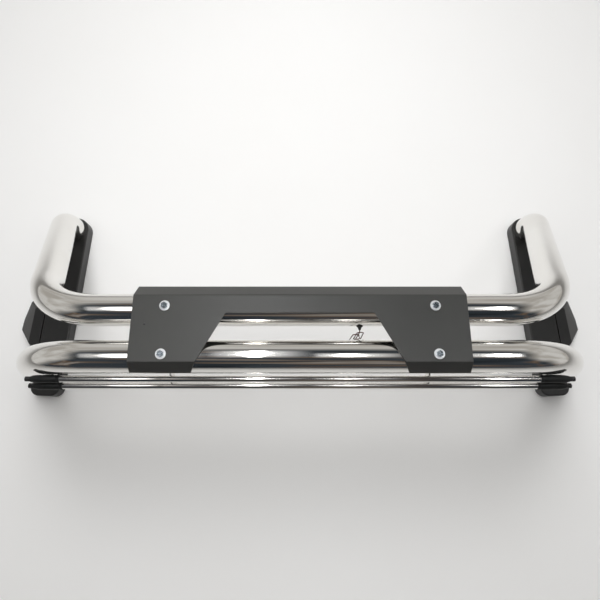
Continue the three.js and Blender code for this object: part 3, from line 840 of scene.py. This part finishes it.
def base_rails():
    """A pressed tray: rounded top edge, upright walls and a flange turned in along the bottom."""
    fillet = 5 * MM
    inner_fillet = fillet - RAIL_SHEET * 0.6
    heel = 1.6 * MM  # rounding where the wall meets the flange
    lip = 0.4 * MM  # chamfer on the flange's free edge
    crease = 1 * MM
    flange = RAIL_SHEET + RAIL_FLANGE
    top = RAIL_HEIGHT - RAIL_SHEET
    # Each ring is a distance in from the outline, and a height.
    rings = arc((fillet, RAIL_HEIGHT - fillet), fillet, 90, 180, 8)
    rings += arc((heel, heel), heel, 180, 270, 4)
    rings += [(flange - lip, 0), (flange, lip), (flange, RAIL_SHEET - lip), (flange - lip, RAIL_SHEET)]
    rings += [(RAIL_SHEET + crease, RAIL_SHEET), (RAIL_SHEET, RAIL_SHEET + crease)]
    rings += arc((RAIL_SHEET + inner_fillet, top - inner_fillet), inner_fillet, 180, 90, 4)
    line = RAIL_WIDTH / 2 - RAIL_SHEET - RAIL_FLANGE / 2
    for side_name, side in SIDES:
        vertices = []
        starts = []
        for inset, z in rings:
            starts.append(len(vertices))
            vertices += [(x, y, z) for x, y in rail_outline(inset)]
        count = len(rail_outline(0))
        faces = [tuple(range(count))]
        for a, b in zip(starts, starts[1:]):
            for k in range(count):
                n = (k + 1) % count
                faces.append((a + k, a + n, b + n, b + k))
        faces.append(tuple(starts[-1] + k for k in reversed(range(count))))
        rail = outward(add_object(f"base_rail_{side_name}_fine", vertices, faces, RAIL_COAT, smooth_angle=40))
        for reach in RAIL_HOLE_REACH:
            for edge in (-1, 1):
                drill(rail, (edge * line, -reach, 0), RAIL_HOLE, -4 * MM, 8 * MM, 32)
        turn = Matrix.Rotation(side * RAIL_TOE, 4, "Z")
        rail.data.transform(Matrix.Translation(rail_origin(side)) @ turn)
        flatten_broad_faces(rail, 50)
        finish_piece(rail, "coated_rail", f"base_rail_{side_name}")


def refined(node, material, slot, bevel_width, segments=2):
    """A copy of a CAD node's own faces, welded and with its edges rounded."""
    name = f"{node}_fine"
    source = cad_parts[node]
    work = bmesh.new()
    work.from_mesh(source.data)
    bmesh.ops.remove_doubles(work, verts=work.verts, dist=1e-6)
    bmesh.ops.dissolve_limit(
        work,
        angle_limit=math.radians(1),
        use_dissolve_boundaries=False,
        verts=work.verts,
        edges=work.edges,
    )
    mesh = bpy.data.meshes.new(name)
    work.to_mesh(mesh)
    work.free()
    obj = bpy.data.objects.new(name, mesh)
    bpy.context.scene.collection.objects.link(obj)
    mesh.transform(source.matrix_world)
    mesh.materials.clear()
    mesh.materials.append(material)
    bevel(obj, bevel_width, segments, 12)
    flatten_broad_faces(obj, 50)
    finish_piece(obj, slot, node)


def wings_and_hangers():
    for side_name, _ in SIDES:
        refined(f"side_wing_{side_name}", RAIL_COAT, "coated_rail", 1.2 * MM, 3)
        refined(f"bar_hanger_{side_name}", STEEL, "polished_tube", 0.6 * MM)


def hidden_steel():
    """Threaded inserts and leg plugs, seen only from underneath."""
    for where in CORNERS:
        for node in (f"threaded_insert_{where}", f"leg_plug_{where}"):
            refined(node, BARE, "bare_steel", 0.4 * MM)


# ---------------------------------------------------------------- grommet and lead
def lead_route(exit_point):
    """The lead's line: out of the grommet, down, and round two loose loops side by side."""
    step = 1.8 * MM
    turn_radius = 5.3 * MM  # where it leaves the grommet
    fold = 7.35 * MM  # radius of each loop's ends
    shift = 5.3 * MM  # each loop's middle, off the hank's
    layer = 2.6 * MM  # between strands that cross
    centre = middle("lead_hank")
    low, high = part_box("lead_hank")
    half = (high[2] - low[2]) / 2 - fold - 1.7 * MM
    points = []
    for i in range(6):
        angle = math.radians(90 * i / 5)
        bend = Vector((0, -turn_radius * math.sin(angle), -turn_radius * (1 - math.cos(angle))))
        points.append(exit_point + bend)

    def strand(end):
        """Runs to end, easing across as it goes up or down."""
        start = points[-1].copy()
        finish = centre + Vector(end)
        count = math.ceil(abs(finish.z - start.z) / step)
        for i in range(1, count + 1):
            t = i / count
            ease = t * t * (3 - 2 * t)
            point = start.lerp(finish, ease)
            point.z = start.z + (finish.z - start.z) * t
            points.append(point)

    def round_end(across, height, first, last, depth_to):
        """Half a turn round a loop's end, at the angles first to last in degrees."""
        depth_from = points[-1].y - centre.y
        count = math.ceil(math.pi * fold / step)
        for i in range(1, count + 1):
            angle = math.radians(first + (last - first) * i / count)
            depth = depth_from + (depth_to - depth_from) * i / count
            offset = Vector((across + fold * math.cos(angle), depth, height + fold * math.sin(angle)))
            points.append(centre + offset)

    strand((fold - shift, 0, -half))
    round_end(-shift, -half, 0, -180, -layer / 2)
    strand((-shift - fold, -layer * 0.75, half))
    round_end(-shift, half, 180, 0, -layer)
    strand((shift + fold, layer, -half))
    round_end(shift, -half, 0, -180, layer)
    strand((shift - fold, layer, half))
    round_end(shift, half, 180, 0, layer)
    strand((shift + fold, -layer / 2, -half / 2))
    return points


def grommet_and_lead():
    spot = middle("lead_grommet")
    seat_y = UPPER_Y - TUBE_RADIUS - FIT - 0.4 * MM
    hole = 1.5 * MM
    neck = 4.5 * MM
    inside = -6 * MM
    flange = 6.9 * MM
    edge = 0.5 * MM
    profile = [(hole, inside), (neck, inside), (neck, -0.2 * MM)]
    profile += arc((flange, edge), edge, -90, 60, 5)
    profile += arc((neck + 1.4 * MM, 3.4 * MM), 1.6 * MM, 235, 180, 4)
    profile += [(3.4 * MM, 5.6 * MM), (2.7 * MM, 8 * MM), (2.3 * MM, 8.8 * MM)]
    profile += [(2.0 * MM, GROMMET_LENGTH), (hole, GROMMET_LENGTH)]
    obj = turned("lead_grommet_fine", profile, (spot.x, seat_y, TUBE_HEIGHT), (0, -1, 0), RUBBER, 56)
    finish_piece(obj, "rubber", "lead_grommet")

    exit_point = Vector((spot.x, UPPER_Y - TUBE_RADIUS - GROMMET_LENGTH - 2 * FIT, TUBE_HEIGHT))
    points = lead_route(exit_point)
    curve = bpy.data.curves.new("light_lead_fine", "CURVE")
    curve.dimensions = "3D"
    curve.bevel_depth = 1.2 * MM
    curve.bevel_resolution = 6
    curve.resolution_u = 6
    curve.use_fill_caps = True
    spline = curve.splines.new("NURBS")
    spline.points.add(len(points) - 1)
    for target, point in zip(spline.points, points):
        target.co = (*point, 1)
    spline.use_endpoint_u = True
    spline.order_u = 4
    lead = bpy.data.objects.new("light_lead_fine", curve)
    bpy.context.scene.collection.objects.link(lead)
    curve.materials.append(LEAD)
    finish_piece(lead, "lead_jacket", "light_lead", "lead_hank")


# ---------------------------------------------------------------- studio
def studio():
    bpy.ops.mesh.primitive_plane_add(size=60, location=(0, 0, -0.0005))
    floor = bpy.context.object
    floor.name = "floor"
    floor.data.materials.append(floor_paint())

    studio_world()
    # The key light comes from beyond the legs and is hidden from the chrome's reflections.
    key = soft_lamp((0, UPPER_Y + 1.9, TUBE_HEIGHT + 2.4), width=3.6, length=2.4, radiance=6.2)
    key.rotation_euler = (math.radians(-38), 0, 0)
    key.visible_glossy = False
    # Soft-edged lamps overhead that do show, each with a dim halo: across, along, width, length, radiance.
    lamps = (
        (-1.18, -0.20, 0.44, 1.2, 4),
        (-0.31, 0.30, 0.14, 2.0, 28),
        (0.33, -0.10, 0.22, 1.0, 9),
        (1.38, -0.10, 0.20, 0.9, 18),
    )
    lamp_height = TUBE_HEIGHT + 2.0
    halo_width = 0.7
    halo_length = 0.35
    halo_radiance = 0.7
    for x, y, width, length, radiance in lamps:
        spot = (x, UPPER_Y + y, lamp_height)
        soft_lamp(spot, width, length, radiance)
        soft_lamp(spot, width + halo_width, length + halo_length, halo_radiance)
    bpy.context.scene.view_settings.view_transform = "Standard"


def soft_lamp(place, width, length, radiance):
    """A rectangular lamp, even in its middle and fading to nothing at its edges."""
    edge = 0.5
    core = 0.12
    light = bpy.data.lights.new("lamp", "AREA")
    light.shape = "RECTANGLE"
    light.size = width
    light.size_y = length
    light.energy = radiance * math.pi * width * length
    light.use_nodes = True
    nodes = light.node_tree.nodes
    links = light.node_tree.links
    surface = nodes.new("ShaderNodeNewGeometry")
    split = nodes.new("ShaderNodeSeparateXYZ")
    links.new(surface.outputs["Parametric"], split.inputs["Vector"])
    fades = []
    for axis in ("X", "Y"):
        shift = nodes.new("ShaderNodeMath")
        shift.operation = "SUBTRACT"
        shift.inputs[1].default_value = 0.5
        links.new(split.outputs[axis], shift.inputs[0])
        size = nodes.new("ShaderNodeMath")
        size.operation = "ABSOLUTE"
        links.new(shift.outputs["Value"], size.inputs[0])
        fade = nodes.new("ShaderNodeMapRange")
        fade.interpolation_type = "SMOOTHSTEP"
        fade.inputs["From Min"].default_value = edge
        fade.inputs["From Max"].default_value = core
        links.new(size.outputs["Value"], fade.inputs["Value"])
        fades.append(fade.outputs["Result"])
    product = nodes.new("ShaderNodeMath")
    product.operation = "MULTIPLY"
    links.new(fades[0], product.inputs[0])
    links.new(fades[1], product.inputs[1])
    links.new(product.outputs["Value"], nodes["Emission"].inputs["Strength"])
    obj = bpy.data.objects.new("lamp", light)
    obj.location = place
    bpy.context.scene.collection.objects.link(obj)
    return obj


def studio_world():
    """Pale walls on three sides, a dim ceiling and a dark side towards the small bars."""
    world = bpy.data.worlds.new("studio")
    bpy.context.scene.world = world
    world.use_nodes = True
    nodes = world.node_tree.nodes
    links = world.node_tree.links
    background = nodes["Background"]
    coordinates = nodes.new("ShaderNodeTexCoord")
    split = nodes.new("ShaderNodeSeparateXYZ")
    links.new(coordinates.outputs["Generated"], split.inputs["Vector"])

    def step(source, start, end, low, high):
        node = nodes.new("ShaderNodeMapRange")
        node.interpolation_type = "SMOOTHSTEP"
        for socket, value in (("From Min", start), ("From Max", end), ("To Min", low), ("To Max", high)):
            node.inputs[socket].default_value = value
        links.new(source, node.inputs["Value"])
        return node.outputs["Result"]

    def math_node(operation, first, second):
        node = nodes.new("ShaderNodeMath")
        node.operation = operation
        for socket, value in zip(node.inputs, (first, second)):
            if isinstance(value, bpy.types.NodeSocket):
                links.new(value, socket)
            else:
                socket.default_value = value
        return node.outputs["Value"]

    across = math_node("ABSOLUTE", split.outputs["X"], 0)
    toward_wall = math_node("ADD", split.outputs["Y"], math_node("MULTIPLY", across, 0.55))
    facing = step(toward_wall, -0.15, 0.25, 0, 1)
    below_ceiling = step(split.outputs["Z"], 0.62, 0.88, 1, 0)
    wall = math_node("MULTIPLY", facing, below_ceiling)
    colour = nodes.new("ShaderNodeMix")
    colour.data_type = "RGBA"
    links.new(wall, colour.inputs[0])
    clutter = nodes.new("ShaderNodeTexNoise")
    clutter.inputs["Scale"].default_value = 2.4
    clutter.inputs["Detail"].default_value = 3
    clutter.inputs["Distortion"].default_value = 0.6
    links.new(coordinates.outputs["Generated"], clutter.inputs["Vector"])
    dim = (
        (0.36, (0.016, 0.020, 0.024)),
        (0.52, (0.045, 0.054, 0.064)),
        (0.60, (0.10, 0.07, 0.05)),
        (0.70, (0.24, 0.22, 0.20)),
    )
    pale = ((0.40, (0.40, 0.38, 0.35)), (0.60, (0.60, 0.59, 0.57)))
    for socket, stops in ((6, dim), (7, pale)):
        tones = nodes.new("ShaderNodeValToRGB")
        while len(tones.color_ramp.elements) < len(stops):
            tones.color_ramp.elements.new(0.5)
        for element, (position, tone) in zip(tones.color_ramp.elements, stops):
            element.position = position
            element.color = (*tone, 1)
        links.new(clutter.outputs["Fac"], tones.inputs["Fac"])
        links.new(tones.outputs["Color"], colour.inputs[socket])
    # What the camera sees past the floor is a plain pale backdrop.
    seen = nodes.new("ShaderNodeLightPath")
    backdrop = nodes.new("ShaderNodeMix")
    backdrop.data_type = "RGBA"
    links.new(seen.outputs["Is Camera Ray"], backdrop.inputs[0])
    links.new(colour.outputs[2], backdrop.inputs[6])
    backdrop.inputs[7].default_value = (0.86, 0.86, 0.85, 1)
    links.new(backdrop.outputs[2], background.inputs["Color"])


main_tubes()
foot_beads()
centre_plate()
plate_rivet()
plate_fasteners()
leg_bolts()
wing_bolts()
small_bars()
base_rails()
wings_and_hangers()
hidden_steel()
grommet_and_lead()
studio()
